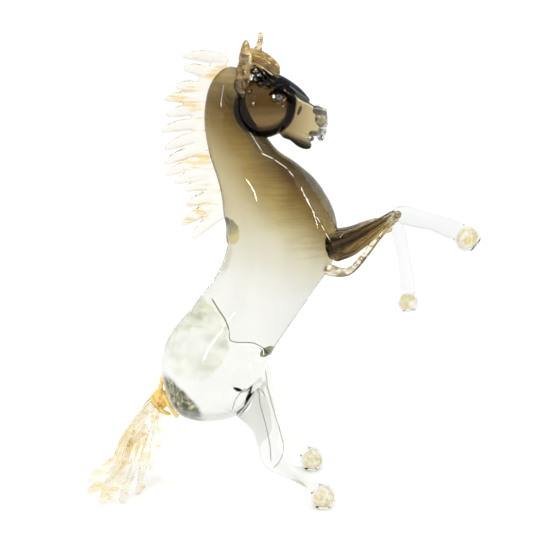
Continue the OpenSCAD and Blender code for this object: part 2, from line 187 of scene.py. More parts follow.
def piece(name, surface, material, replaces=()):
    """Mesh object made from a surface's arrays, smooth, riding on the model's one body."""
    points, walls, caps = surface
    mesh = bpy.data.meshes.new(name)
    loops = np.concatenate([walls.ravel(), caps.ravel()])
    sizes = np.concatenate([np.full(len(walls), 4), np.full(len(caps), 3)])
    mesh.vertices.add(len(points))
    mesh.vertices.foreach_set("co", (points * MM).astype(np.float32).ravel())
    mesh.loops.add(len(loops))
    mesh.loops.foreach_set("vertex_index", loops.astype(np.int32))
    mesh.polygons.add(len(sizes))
    starts = np.concatenate([[0], np.cumsum(sizes)[:-1]])
    mesh.polygons.foreach_set("loop_start", starts.astype(np.int32))
    mesh.polygons.foreach_set("use_smooth", np.ones(len(sizes), bool))
    mesh.update(calc_edges=True)
    mesh.validate()
    mesh.materials.append(material)
    thing = stand(name, mesh)
    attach(thing, "root")
    if replaces:
        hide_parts(*replaces)
    return thing


def fuse(thing, grain, passes):
    """Melts a piece's overlapping surfaces into one skin, as hot bits flow together."""
    melt = thing.modifiers.new("fuse", "REMESH")
    melt.mode = "VOXEL"
    melt.voxel_size = grain * MM
    melt.use_smooth_shade = True
    relax = thing.modifiers.new("flow", "SMOOTH")
    relax.factor = 0.5
    relax.iterations = passes


# ---- Materials ------------------------------------------------------------------------------

class Recipe:
    """A material's node tree, with short calls for the few nodes used here."""

    def __init__(self, name):
        self.material = bpy.data.materials.new(name)
        self.material.use_nodes = True
        self.tree = self.material.node_tree
        self.surface = self.tree.nodes["Principled BSDF"]
        self.place = self.node("ShaderNodeTexCoord").outputs["Object"]

    def node(self, kind, **settings):
        made = self.tree.nodes.new(kind)
        for key, value in settings.items():
            setattr(made, key, value)
        return made

    def feed(self, socket, value):
        if isinstance(value, bpy.types.NodeSocket):
            self.tree.links.new(value, socket)
        else:
            socket.default_value = value

    def put(self, made, **values):
        """Feeds a node's inputs by name, with _ for each space in the name."""
        for key, value in values.items():
            self.feed(made.inputs[key.replace("_", " ")], value)

    def math(self, kind, a, b=0.0, c=0.0):
        made = self.node("ShaderNodeMath", operation=kind)
        for socket, value in zip(made.inputs, (a, b, c)):
            self.feed(socket, value)
        return made.outputs[0]

    def reach(self, direction, low, high):
        """0 to 1 as the place goes from low to high, in mm, along a direction."""
        dot = self.node("ShaderNodeVectorMath", operation="DOT_PRODUCT")
        self.feed(dot.inputs[0], self.place)
        self.feed(dot.inputs[1], direction)
        made = self.node("ShaderNodeMapRange")
        self.put(made, Value=dot.outputs["Value"], From_Min=low * MM, From_Max=high * MM)
        return made.outputs[0]

    def ramp(self, value, stops):
        made = self.node("ShaderNodeValToRGB")
        self.feed(made.inputs[0], value)
        bar = made.color_ramp
        while len(bar.elements) < len(stops):
            bar.elements.new(0.5)
        for element, (spot, colour) in zip(bar.elements, stops):
            element.position = spot
            element.color = (*colour, 1.0)
        return made.outputs[0]

    def times(self, a, b):
        return self.math("MULTIPLY", a, b)

    def rise(self, value, low, high):
        """0 to 1 as a value goes from low to high."""
        return self.ramp(value, [(low, (0, 0, 0)), (high, (1, 1, 1))])

    def mix(self, factor, a, b, kind="MIX"):
        made = self.node("ShaderNodeMix", data_type="RGBA", blend_type=kind)
        self.feed(made.inputs["Factor"], factor)
        for socket, value in zip((made.inputs[6], made.inputs[7]), (a, b)):
            self.feed(socket, (*value, 1.0) if isinstance(value, tuple) else value)
        return made.outputs[2]

    def spot(self, middle, half, turn=0.0, soft=0.3):
        """1 inside an ellipsoid at middle with the half sizes in mm, falling to 0 over the outer
        share soft of it; with soft None, the distance from the middle in half sizes instead."""
        mapping = self.node("ShaderNodeMapping", vector_type="TEXTURE")
        self.put(mapping, Vector=self.place, Location=[c * MM for c in middle],
                 Rotation=(0.0, math.radians(turn), 0.0), Scale=[c * MM for c in half])
        length = self.node("ShaderNodeVectorMath", operation="LENGTH")
        self.feed(length.inputs[0], mapping.outputs[0])
        if soft is None:
            return length.outputs["Value"]
        ragged = self.math("MULTIPLY_ADD", self.noise(140.0, 2.0), 0.3, -0.15)
        made = self.node("ShaderNodeMapRange", interpolation_type="SMOOTHSTEP")
        self.put(made, Value=self.math("ADD", length.outputs["Value"], ragged),
                 From_Min=1.0, From_Max=1.0 - soft)
        return made.outputs[0]

    def edge(self, tint, rim, sharp=3.0):
        """The tint times the rim colour where the glass turns away: partly as its path there is
        longer, partly painted shade for the dark edge the glass shows there.
        """
        weight = self.node("ShaderNodeLayerWeight")
        self.put(weight, Blend=0.5)
        away = self.math("POWER", weight.outputs["Facing"], sharp)
        return self.mix(away, tint, self.mix(1.0, tint, rim, kind="MULTIPLY"))

    def noise(self, scale, detail=3.0, stretch=(1, 1, 1), rough=0.5, turn=0.0):
        mapping = self.node("ShaderNodeMapping")
        self.put(mapping, Vector=self.place, Rotation=(0.0, math.radians(turn), 0.0),
                 Scale=stretch)
        made = self.node("ShaderNodeTexNoise")
        self.put(made, Vector=mapping.outputs[0], Scale=scale, Detail=detail, Roughness=rough)
        return made.outputs["Fac"]

    def bump(self, height, distance):
        made = self.node("ShaderNodeBump")
        self.put(made, Height=height, Distance=distance * MM, Strength=1.0)
        self.put(self.surface, Normal=made.outputs[0])

    def glass(self, tint, ior=1.12, skin=0.4):
        """Soft-bending clear glass of a tint under a hard, bright skin of a given strength."""
        self.put(self.surface, Base_Color=tint, Transmission_Weight=1.0, Roughness=0.0, IOR=ior,
                 Coat_Weight=skin, Coat_Roughness=0.01)
        return self.material


# Ways up from the haunch's clear glass to the neck's smoke, from the crest to the breast, and
# square to the bright seam that runs down the nose.
UP_BODY = (0.31, 0.0, 0.95)
TO_BREAST = (0.84, 0.0, 0.54)
ABOVE_SEAM = (0.55, 0.0, 0.835)


def body_glass():
    """Clear, faintly olive haunch that turns to smoke brown at the chest, darkest at the breast."""
    r = Recipe("smoke_to_clear")
    cord = r.noise(26.0, 2.0, stretch=(1.0, 0.6, 2.4))
    veil = r.noise(42.0, 2.0, stretch=(1.6, 1.0, 0.22), turn=-12)
    sway = r.math("MULTIPLY_ADD", cord, 0.05, -0.025)
    up = r.math("ADD", r.reach(UP_BODY, 100, 330), sway)
    front = r.math("ADD", r.reach(TO_BREAST, 84, 160), r.times(sway, 1.6))
    back = r.ramp(up, [(0.0, (0.745, 0.75, 0.72)), (0.22, (0.72, 0.72, 0.68)),
                       (0.28, (0.65, 0.64, 0.56)), (0.40, (0.57, 0.535, 0.40)),
                       (0.46, (0.53, 0.46, 0.29)), (0.62, (0.44, 0.37, 0.19)),
                       (0.73, (0.33, 0.255, 0.115)), (0.86, (0.40, 0.32, 0.15))])
    middle = r.ramp(up, [(0.0, (0.745, 0.75, 0.72)), (0.22, (0.65, 0.645, 0.58)),
                         (0.32, (0.62, 0.60, 0.48)), (0.39, (0.53, 0.49, 0.35)),
                         (0.45, (0.39, 0.33, 0.16)), (0.55, (0.32, 0.23, 0.08)),
                         (0.66, (0.25, 0.175, 0.06)), (0.76, (0.15, 0.095, 0.025)),
                         (0.85, (0.34, 0.26, 0.115))])
    breast = r.ramp(up, [(0.0, (0.745, 0.75, 0.72)), (0.22, (0.66, 0.65, 0.58)),
                         (0.32, (0.56, 0.52, 0.38)), (0.39, (0.33, 0.27, 0.12)),
                         (0.46, (0.19, 0.12, 0.03)), (0.54, (0.12, 0.065, 0.007)),
                         (0.62, (0.04, 0.014, 0.001)), (0.76, (0.05, 0.025, 0.004)),
                         (0.85, (0.33, 0.25, 0.11))])
    tint = r.mix(r.rise(front, 0.24, 0.46), back, middle)
    tint = r.mix(r.rise(front, 0.50, 0.77), tint, breast)
    smoke = r.rise(up, 0.34, 0.42)
    # The casing past the bright line down the breast, painted as shade where the breast's edge
    # shows dark surroundings: paler low down, near black at the throat.
    casing_shade = r.ramp(up, [(0.46, (0.30, 0.25, 0.13)), (0.56, (0.25, 0.20, 0.09)),
                         (0.61, (0.09, 0.075, 0.04)), (0.66, (0.05, 0.04, 0.018)),
                         (0.78, (0.05, 0.04, 0.018)), (0.85, (0.33, 0.25, 0.11))])
    # Painted shade: dark grey at the very front edge of the breast.
    slate = r.rise(front, 0.84, 0.95)
    casing_shade = r.mix(slate, casing_shade, (0.075, 0.08, 0.07))
    throat = r.math("MINIMUM", r.math("MAXIMUM", r.math("MULTIPLY_ADD", up, 6.0, -3.86), 0.0),
                    0.15)
    past = r.math("GREATER_THAN", r.math("ADD", front, throat), 0.805)
    tint = r.mix(r.times(r.times(past, smoke), 0.9), tint, casing_shade)
    tint = r.mix(r.ramp(veil, [(0.40, (0, 0, 0)), (0.70, (0.30, 0.30, 0.30))]), tint,
                 (0.84, 0.78, 0.60), kind="SOFT_LIGHT")
    # Fine level swirls across the breast.
    swirl = r.noise(30.0, 4.0, stretch=(0.35, 0.35, 5.0), turn=-8, rough=0.6)
    bands = r.ramp(swirl, [(0.42, (1, 1, 1)), (0.50, (0.78, 0.74, 0.66)), (0.56, (1, 1, 1))])
    swirled = r.times(r.rise(front, 0.35, 0.6), smoke)
    tint = r.mix(swirled, tint, r.mix(1.0, tint, bands, kind="MULTIPLY"))
    # Olive cast over the rump, mottled, with a clean edge at the arc where two gathers meet.
    rump = r.spot((-63, -20, 131), (29, 60, 31), soft=0.10)
    low = r.reach((0.35, 0.0, 0.94), 62, 92)
    near_edge = r.spot((-63, -20, 131), (30, 60, 31), soft=None)
    inner = r.ramp(near_edge, [(0.30, (0.35, 0.35, 0.35)), (0.95, (1, 1, 1))])
    mottle = r.ramp(r.noise(85.0, 4.0, turn=40, stretch=(0.6, 1.0, 1.2)),
                    [(0.34, (0.74, 0.75, 0.66)), (0.46, (0.62, 0.63, 0.46)),
                     (0.58, (0.44, 0.46, 0.28)), (0.70, (0.24, 0.26, 0.12))])
    share = r.times(r.times(rump, low), inner)
    tint = r.mix(r.times(share, 0.9), tint, mottle)
    # Painted shade and highlights: a dark, jewel-like patch where the tail is set on, and its
    # smaller fellow on the back, where the glass shows a dark view of the parts behind.
    cells = r.noise(190.0, 5.0, rough=0.7)
    refracted_shade_and_light = r.ramp(cells, [(0.43, (0.008, 0.008, 0.004)), (0.51, (0.05, 0.05, 0.018)),
                           (0.59, (0.22, 0.22, 0.10)), (0.70, (0.85, 0.84, 0.66))])
    patch = r.spot((-70.5, -16, 81.5), (27, 38, 11), turn=48, soft=0.3)
    tint = r.mix(patch, tint, refracted_shade_and_light)
    # Painted shade on the back: a dark olive patch with an amber corner, and a fainter olive smear
    # below it.
    back_shade_patch = r.spot((-36.5, -10, 211), (9.5, 32, 11.0), turn=6, soft=0.12)
    back_shade_smear = r.spot((-38.5, -10, 190), (5.0, 26, 16.0), turn=16, soft=0.5)
    amber = r.ramp(r.reach((0.7, 0.0, -0.7), -176, -168),
                   [(0.0, (0.06, 0.055, 0.018)), (0.6, (0.16, 0.14, 0.045)),
                    (1.0, (0.44, 0.33, 0.07))])
    tint = r.mix(r.times(back_shade_patch, 0.95), tint, amber)
    tint = r.mix(r.times(back_shade_smear, 0.7), tint, (0.36, 0.35, 0.19))
    # Painted shade on the flank: a small dark patch in a pale ring painted as a highlight.
    flank_light_rim = r.spot((-9.5, -20, 118.5), (8.6, 20, 7.4), turn=-25, soft=0.25)
    tint = r.mix(r.times(flank_light_rim, 0.6), tint, (0.90, 0.90, 0.86))
    flank_shade_patch = r.spot((-7.6, -20, 119.4), (6.0, 18, 5.0), turn=-25, soft=0.12)
    tint = r.mix(flank_shade_patch, tint, r.ramp(cells, [(0.4, (0.02, 0.016, 0.004)),
                                                 (0.65, (0.09, 0.08, 0.02))]))
    legs = r.reach((0, 0, -1), -78, -30)
    tint = r.mix(legs, tint, (0.86, 0.865, 0.85))
    fine = r.noise(380.0, 2.0)
    waver = r.noise(70.0, 2.0, stretch=(1.0, 1.0, 0.45))
    r.bump(r.math("MULTIPLY_ADD", fine, 0.22, waver), 0.14)
    # Darker towards the outline, partly for the longer path and partly as painted shade, then a
    # thin painted dark line at the very edge.
    return r.glass(r.edge(r.edge(tint, (0.66, 0.66, 0.60), 5.0), (0.22, 0.22, 0.19), 16.0))


def head_glass():
    """Dark smoke glass: brown cheek in a near-black rim of painted shade, slate brow and nose,
    paler lips.
    """
    r = Recipe("dark_smoke")
    swirl = r.math("MULTIPLY_ADD", r.noise(75.0, 3.0), 0.10, -0.05)
    cheek = r.spot((JOWL[0], 0, JOWL[2] + 2.5), (JOWL_R, 100, JOWL_R), soft=None)
    cheek = r.math("ADD", cheek, r.times(swirl, 0.5))
    low = r.math("ADD", r.reach((-0.06, 0, 1.0), 296.0, 300.0), r.times(swirl, 2.0))
    brown = r.mix(low, (0.20, 0.130, 0.045), (0.085, 0.050, 0.014))
    # Painted shade: a near-black ring round the cheek's edge.
    cheek_rim_shade = r.ramp(r.times(cheek, 0.5),
                  [(0.0, (1, 1, 1)), (0.365, (0.9, 0.9, 0.9)), (0.405, (0.08, 0.06, 0.04)),
                   (0.44, (0.006, 0.005, 0.004)), (0.525, (0.006, 0.005, 0.004)),
                   (0.555, (1, 1, 1))])
    nose = r.reach((1.0, 0.0, -0.2), -48, -22)
    pale = r.ramp(nose, [(0.0, (0.30, 0.22, 0.10)), (0.5, (0.48, 0.39, 0.20)),
                         (1.0, (0.60, 0.52, 0.34))])
    inside = r.math("LESS_THAN", cheek, 1.0)
    tint = r.mix(inside, pale, brown)
    tint = r.mix(1.0, tint, cheek_rim_shade, kind="MULTIPLY")
    # Painted shade and sheen on the cheek's back edge: darkest at the edge, grey-blue within.
    cheek_back_shade = r.spot((-35, 0, 303), (17.0, 70, 23), turn=6, soft=0.6)
    sheen = r.ramp(r.reach((1, 0, 0), -33, -22), [(0.0, (0.012, 0.014, 0.018)),
                                                  (0.45, (0.060, 0.068, 0.08)),
                                                  (1.0, (0.10, 0.075, 0.035))])
    tint = r.mix(r.times(cheek_back_shade, 0.95), tint, sheen)
    seam = r.reach(ABOVE_SEAM, 262.5, 270.5)
    seam = r.math("ADD", seam, r.times(swirl, 1.6))
    fleck = r.noise(300.0, 4.0, stretch=(0.45, 0.45, 1.0), rough=0.7)
    # Painted highlights: pale flecks on the dark hair above the seam, standing for its sparkle.
    hair_zone = r.spot((-11, 0, 322), (17, 40, 9), turn=8, soft=0.4)
    light = r.times(hair_zone,
                   r.rise(fleck, 0.54, 0.60))
    # Slate above the seam, with a lighter band near its top painted as a highlight.
    bridge = r.ramp(r.reach(ABOVE_SEAM, 264, 276), [(0.0, (0.006, 0.007, 0.008)),
                                                    (0.55, (0.014, 0.018, 0.022)),
                                                    (0.85, (0.07, 0.085, 0.10)),
                                                    (1.0, (0.02, 0.024, 0.028))])
    dark = r.mix(r.times(light, 0.65), bridge, (0.46, 0.48, 0.45))
    tint = r.mix(r.math("GREATER_THAN", seam, 0.40), tint, dark)
    line = r.ramp(seam, [(0.30, (0, 0, 0)), (0.34, (1, 1, 1)), (0.42, (1, 1, 1)),
                         (0.46, (0, 0, 0))])
    forward = r.reach((1, 0, 0), 2, 5)
    tint = r.mix(r.times(line, forward), tint, (0.90, 0.85, 0.70))
    comma = r.spot((15.8, -12, 300.3), (1.6, 14, 5.2), turn=22, soft=0.4)
    tint = r.mix(comma, tint, (0.012, 0.010, 0.006))
    under = r.reach((0.42, 0, 0.90), 255.0, 258.5)
    chin = r.times(r.math("SUBTRACT", 1.0, under), r.reach((1, 0, 0), 0, 6))
    tint = r.mix(chin, tint, (0.02, 0.016, 0.008))
    r.bump(fleck, 0.15)
    return r.glass(r.edge(tint, (0.10, 0.10, 0.09), 9.0), skin=0.14)


def smoke_glass():
    """Brown smoke of the forearms: bands of umber and black glass, with cream bands near the top
    painted as highlights, that meet at the knee.
    """
    r = Recipe("smoke")
    split = r.node("ShaderNodeSeparateXYZ")
    r.feed(split.inputs[0], r.place)
    back = r.math("SUBTRACT", 0.090, split.outputs["X"])
    down = r.math("SUBTRACT", 0.2275, split.outputs["Z"])
    angle = r.math("ARCTAN2", down, back)
    wander = r.math("MULTIPLY_ADD", r.noise(120.0, 3.0), 0.10, -0.05)
    bands = r.math("MULTIPLY_ADD", r.math("ADD", angle, wander), 1.9, -0.50)
    tint = r.ramp(bands, [(0.00, (0.020, 0.014, 0.006)), (0.10, (0.78, 0.72, 0.58)),
                          (0.20, (0.85, 0.82, 0.72)), (0.27, (0.07, 0.045, 0.014)),
                          (0.36, (0.22, 0.15, 0.05)), (0.44, (0.010, 0.007, 0.003)),
                          (0.55, (0.03, 0.018, 0.006)), (0.66, (0.32, 0.23, 0.09)),
                          (0.76, (0.62, 0.52, 0.30)), (0.84, (0.10, 0.07, 0.02)),
                          (0.95, (0.50, 0.40, 0.20))])
    knee = r.reach((1.0, 0.0, 0.4), 166, 182)
    tint = r.mix(knee, tint, (0.84, 0.80, 0.68))
    r.bump(r.noise(190.0, 3.0, stretch=(0.12, 0.8, 1.0), turn=-38), 0.35)
    return r.glass(r.edge(tint, (0.35, 0.32, 0.26), 4.0), skin=0.25)


def clear_glass():
    """Clear glass of the forelegs with the faint waver that tooling leaves in its skin."""
    r = Recipe("clear")
    r.bump(r.noise(60.0, 3.0), 0.3)
    return r.glass(r.edge((0.79, 0.80, 0.795), (0.72, 0.72, 0.70), 3.0), ior=1.1)


def cord_glass(name, tint):
    """Thread of coloured glass that lies in the body."""
    r = Recipe(name)
    shade = r.noise(160.0, 2.0)
    pale = tuple(min(1.0, 1.6 * c + 0.02) for c in tint)
    return r.glass(r.mix(shade, tint, pale), ior=1.02, skin=0.05)


def glint_glass():
    """Painted highlight: fine white line where an edge holds the light, as down the breast."""
    r = Recipe("glint")
    tint = r.mix(r.noise(500.0), (0.93, 0.92, 0.88), (1.0, 1.0, 0.98))
    r.put(r.surface, Base_Color=tint, Roughness=0.25, Coat_Weight=1.0)
    return r.material


def crystal_glass():
    """Lumpy clear glass of the lips, with black threads painted in it as shade that its lumps bend
    into view.
    """
    r = Recipe("crystal")
    thread = r.noise(260.0, 4.0, rough=0.65)
    tint = r.ramp(thread, [(0.42, (0.015, 0.015, 0.012)), (0.48, (0.55, 0.53, 0.46)),
                           (0.54, (0.92, 0.92, 0.90)), (0.62, (0.30, 0.28, 0.22)),
                           (0.66, (0.92, 0.92, 0.90))])
    r.bump(thread, 0.8)
    return r.glass(tint, ior=1.45)


def leaf_glass(name, cover, leaf_tint, gap_tint, metal=0.0):
    """Crumpled gold leaf shut in glass; cover is the share of it that hides what is behind."""
    r = Recipe(name)
    crumple = r.noise(650.0, 4.0, rough=0.7)
    patch = r.noise(260.0, 2.0)
    level = r.math("ADD", r.times(crumple, 0.55), r.times(patch, 0.45))
    leaf = r.rise(level, 0.56 - cover, 0.60 - cover)
    shade = r.mix(crumple, leaf_tint, tuple(min(1.0, 1.15 * c + 0.12) for c in leaf_tint))
    r.put(r.surface, Base_Color=r.mix(leaf, gap_tint, shade), Metallic=r.times(leaf, metal),
          Transmission_Weight=r.math("SUBTRACT", 1.0, r.times(leaf, 0.7)),
          Roughness=0.3, IOR=1.02)
    r.bump(crumple, 0.9)
    return r.material


def streak_glass(name, pale, gold, amount, run, solid=0.15, rim=(0.93, 0.74, 0.42),
                 ior=1.08, rough=0.1):
    """Clear strand glass with gold drawn out into streaks that run at an angle, in degrees
    above the +X axis, and gathered at its edges, partly by its longer path and partly as painted
    edge shade."""
    r = Recipe(name)
    lines = r.noise(330.0, 3.0, stretch=(0.08, 0.7, 1.0), turn=run, rough=0.6)
    blush = r.noise(70.0, 2.0, stretch=(0.6, 1.0, 1.0), turn=run)
    drawn = r.math("MULTIPLY_ADD", blush, 0.5, r.times(lines, 0.5))
    level = r.rise(drawn, 0.53 - amount, 0.58 - amount)
    tint = r.mix(level, pale, gold)
    r.put(r.surface, Base_Color=r.edge(tint, rim, 3.0),
          Transmission_Weight=r.math("SUBTRACT", 1.0, r.times(level, solid)),
          Roughness=rough, IOR=ior, Coat_Weight=0.3, Coat_Roughness=0.03)
    r.bump(lines, 0.35)
    return r.material


def eye_glass():
    """Black bead, wet and hard, with a breath of amber painted as glowing light in its lower half.
    """
    r = Recipe("black_bead")
    glow = r.reach((0.3, 0, -1), -(EYE[2] - 0.5), -(EYE[2] - 3.4))
    tint = r.mix(glow, (0.003, 0.003, 0.003), (0.16, 0.10, 0.03))
    r.put(r.surface, Base_Color=tint, Roughness=0.02, Coat_Weight=1.0)
    return r.material


JOWL = (-10.5, 0.0, 300.5)
JOWL_R = 22.0
EYE = (0.6, HEAD_HALF * 0.80, 310.8)

BODY_GLASS = body_glass()
HEAD_GLASS = head_glass()
SMOKE_GLASS = smoke_glass()
CLEAR_GLASS = clear_glass()
CRYSTAL_GLASS = crystal_glass()
LEAF = leaf_glass("gold_leaf", 0.06, (1.0, 0.74, 0.36), (1.0, 0.99, 0.95))
KNOT_LEAF = leaf_glass("gold_leaf_deep", 0.16, (0.93, 0.60, 0.16), (0.98, 0.88, 0.60),
                       metal=0.3)
MANE_GLASS = streak_glass("mane_streaks", (0.87, 0.85, 0.78), (0.84, 0.62, 0.28), -0.03, 14,
                          rim=(0.38, 0.22, 0.04), ior=1.14, rough=0.05)
TAIL_GLASS = streak_glass("tail_streaks", (0.91, 0.88, 0.80), (0.90, 0.77, 0.48), -0.01, 66,
                          rim=(0.92, 0.82, 0.60), rough=0.16)
EAR_GLASS = streak_glass("ear_streaks", (0.80, 0.70, 0.46), (0.40, 0.25, 0.06), 0.02, 80,
                         solid=0.5, rim=(0.40, 0.28, 0.10), ior=1.3, rough=0.04)
FORELOCK_GLASS = streak_glass("forelock_streaks", (0.93, 0.88, 0.72), (0.62, 0.44, 0.14), 0.0,
                              -32, rim=(0.52, 0.36, 0.12), ior=1.2, rough=0.04)
EAR_ROOT = streak_glass("ear_root_streaks", (0.80, 0.66, 0.36), (0.34, 0.21, 0.05), 0.01, 50,
                        solid=0.8, rim=(0.40, 0.26, 0.08), ior=1.3, rough=0.04)
STRAP_GLASS = streak_glass("strap_streaks", (0.86, 0.81, 0.64), (0.20, 0.13, 0.04), 0.01, 35,
                           rim=(0.26, 0.19, 0.08), ior=1.25, rough=0.02)
DARK_HAIR = cord_glass("dark_hair", (0.02, 0.024, 0.028))
OLIVE_CORD = cord_glass("olive_cord", (0.24, 0.235, 0.11))
FOLD_CORD = cord_glass("fold_cord", (0.40, 0.42, 0.36))
GLINT = glint_glass()
EYE_GLASS = eye_glass()


# ---- Body -----------------------------------------------------------------------------------

SPINE = [
    [-54, 0, 60, 29, HAUNCH_HALF * 0.80],
    [-53, 0, 78, 33, HAUNCH_HALF * 0.92],
    [-49, 0, 103, 40, HAUNCH_HALF],
    [-34, 0, 131, 35, HAUNCH_HALF * 0.88],
    [-16, 0, 158, 34, CHEST_HALF * 0.97],
    [-4, 0, 181, 37, CHEST_HALF * 0.97],
    [3.2, 0, 202, 41.8, CHEST_HALF],
    [-1.3, 0, 221, 40.2, CHEST_HALF * 0.96],
    [-10.8, 0, 239, 34, CHEST_HALF * 0.83],
    [-21, 0, 256, 25.4, CHEST_HALF * 0.66],
    [-30, 0, 274, 21.5, CHEST_HALF * 0.57],
    [-34, 0, 291, 19.8, CHEST_HALF * 0.48],
    [-32, 0, 307, 19.8, CHEST_HALF * 0.43],
    [-27, 0, 331, 18.1, CHEST_HALF * 0.34],
]
# The trunk's glass is drawn thinner inside the head, so the cheek shows only its own.
TRUNK = SPINE[:-3] + [
    [-36, 0, 291, 17.8, CHEST_HALF * 0.48],
    [-37, 0, 307, 14.8, CHEST_HALF * 0.43],
    [-31.5, 0, 330.6, 13.6, CHEST_HALF * 0.34],
]
POLL_DOME = 0.95


def hind_line(side, hoof, lag):
    """Stations of a hind leg from inside the haunch to the hoof; lag sets the hock further back."""
    y = hoof[1]
    w = side * HAUNCH_HALF
    return [
        [-42, w * 0.42, 112, 22, 15],
        [-30, w * 0.62, 96, 21, 14],
        [-17 - lag * 0.4, w * 0.85, 80, 15, 12],
        [-10.5 - lag * 0.6, y * 0.97, 66, 10.5, 10],
        [-7 - lag, y, 50, 8.4, 8],
        [-3 - lag, y, 38, 8.2, 7],
        [7 - lag, y, 30.5, 5.6, 5.4],
        [hoof[0] - 10, y, 19, 4.8, 4.8],
        [hoof[0] - 3, y, 12, 5.6, 5.4],
    ]


def hoof(radius, height, tilt, place, rings=28, sides=40, share=1.0, dent=0.0):
    """Bell turned round its own axis: flat sole, round wall and a narrower crown.

    The radius at height h is that of a circle about a point two fifths up, drawn in towards the
    crown, and the whole is tilted about Y and moved to its place. share shrinks it about its
    middle, and dent crumples the wall with three waves round and two up.
    """
    h = height * (1 - np.cos(math.pi * np.linspace(0, 1, rings))) / 2
    low = np.sqrt(np.clip(1 - ((h - 0.4 * height) / (radius * 1.02)) ** 2, 0, 1))
    taper = 1 - 0.12 * np.clip((h / height - 0.4) / 0.6, 0, 1)
    sizes = np.maximum(radius * low * taper, radius * 0.02) * share
    h = height * 0.45 + (h - height * 0.45) * share
    turned = math.radians(tilt)
    axis = np.array([math.sin(turned), 0, math.cos(turned)])
    middle = np.asarray(place, float) + h[:, None] * axis
    t = 2 * math.pi * np.arange(sides) / sides
    side_way = np.array([math.cos(turned), 0, -math.sin(turned)])
    wave = 1 + dent * np.sin(3 * t)[None, :] * np.cos(2 * math.pi * h / height)[:, None]
    spread = sizes[:, None] * wave
    grid = (middle[:, None, :] + (spread * np.cos(t))[..., None] * side_way
            + (spread * np.sin(t))[..., None] * np.array([0, 1.0, 0]))
    points = np.vstack([grid.reshape(-1, 3), middle[0], middle[-1]])
    return points, *tube_faces(rings, sides)


# Each hoof: radius, height, tilt about Y in degrees, and the middle of its sole.
HOOVES = {
    "near_hind": (HOOF_RADIUS, 20, 0, (NEAR_HOOF[0], NEAR_HOOF[1], 0)),
    "far_hind": (HOOF_RADIUS, 20, 0, (FAR_HOOF[0], FAR_HOOF[1], 0)),
    "near_fore": (10, 20, -52, (145.5, NEAR_FORE_Y, 201.8)),
    "far_fore": (8.5, 17, -8, (101, FAR_FORE_Y, 141.5)),
}

body_surface = joined(
    loft(TRUNK, 130, 84, 0.75, POLL_DOME),
    loft(hind_line(-1, NEAR_HOOF, 0), 44, 32, 0.9, 0.4),
    loft(hind_line(1, FAR_HOOF, 4), 44, 32, 0.9, 0.4),
    hoof(*HOOVES["near_hind"]),
    hoof(*HOOVES["far_hind"]),
)
fuse(piece("body", body_surface, BODY_GLASS,
           ("body_gather", "neck_gather", "smoke_core", "near_thigh", "far_thigh",
            "near_hind_shank", "far_hind_shank", "near_hind_hoof", "far_hind_hoof")), 1.0, 22)

for label, bell in HOOVES.items():
    piece(f"{label}_hoof_leaf", hoof(*bell, share=0.74, dent=0.12), LEAF)


def on_skin(x, z, side, depth=0.0):
    """Points of the trunk's skin at x and z, on the near (-1) or far (1) side, sunk by depth.

    The spine's place is the one whose section plane holds the point; the way across is then
    half the section's width times the root of 1 less the square of the share along it.
    """
    at = np.stack([np.asarray(x, float), np.zeros(len(x)), np.asarray(z, float)], -1)
    s = np.linspace(0, len(SPINE) - 1, 900)
    rows = along(SPINE, s)
    way, _, inward = section_axes(SPINE, s)
    gap = at[:, None, :] - rows[None, :, :3]
    off = np.abs((gap * way).sum(-1)) + 0.02 * np.linalg.norm(gap, axis=-1)
    best = off.argmin(1)
    share = (gap[np.arange(len(x)), best] * inward[best]).sum(-1) / rows[best, 3]
    at[:, 1] = side * (rows[best, 4] * np.sqrt(np.clip(1 - share ** 2, 0, 1)) - depth)
    return at


def thread(points, radius):
    """Thin closed cord through points, rounded at both ends."""
    line = np.hstack([points, np.full((len(points), 2), radius)])
    return loft(line, 10 * len(points), 10, 0.4, 0.4)


seam = on_skin([-49, -43.5, -38.5, -35.6, -35.2, -30, -23, -17, -12.2, -11.5],
               [160.5, 154, 147.5, 139.5, 133.4, 131.2, 130.6, 129, 124.6, 119], -1, 0.6)
piece("rump_seam", joined(thread(seam[:4], 0.6), thread(seam[3:], 0.4)), OLIVE_CORD)
# Painted highlight: a white cord beside the seam.
piece("rump_seam_glint", thread(seam[5:] + np.array([1.2, -0.4, -1.6]), 0.35), GLINT)
# Folds in the near thigh and down its front edge to the hock.
folds = [[(-34, 79), (-31.5, 87), (-27.5, 93.5), (-23.5, 96.8)],
         [(-15.2, 93), (-14.6, 96.5), (-11.5, 95), (-8.6, 89.5)],
         [(-9, 112), (-7, 96), (-3, 80), (2, 62), (4.6, 48), (1, 38), (-3, 33)],
         [(-14, 97), (-13, 84), (-9, 68), (-6, 52), (-5, 38)]]
piece("thigh_folds", joined(*[thread(np.array([(x, -36, z) for x, z in fold], float), 0.45)
                              for fold in folds]), FOLD_CORD)

# Painted highlight: the casing's edge down each side of the breast, as a broken line of white
# glints: it is walked in sixty marks, and each glint runs from one mark to another.
SIDES = ((-1, "near"), (1, "far"))
BREAST_LINE = np.array([(-15.6, 271.8), (-4.0, 265.9), (6.8, 258.5), (16.3, 247.4),
                        (20.0, 238.4), (31.1, 219.6), (40.0, 202.1), (44.5, 193.5)])
GLINT_MARKS = [(3, 9), (10, 17), (18, 21), (27, 30), (31, 33), (34, 37), (38, 39), (40, 42),
               (43, 45), (46, 50), (51, 57)]
knots = np.arange(len(BREAST_LINE))
marks = np.linspace(0, knots[-1], 60)
for side, label in SIDES:
    fine = on_skin(np.interp(marks, knots, BREAST_LINE[:, 0]),
                   np.interp(marks, knots, BREAST_LINE[:, 1]), side, 0.05)
    glints = [thread(fine[a:b + 1], 0.24) for a, b in GLINT_MARKS]
    piece(f"{label}_breast_line", joined(*glints), GLINT)


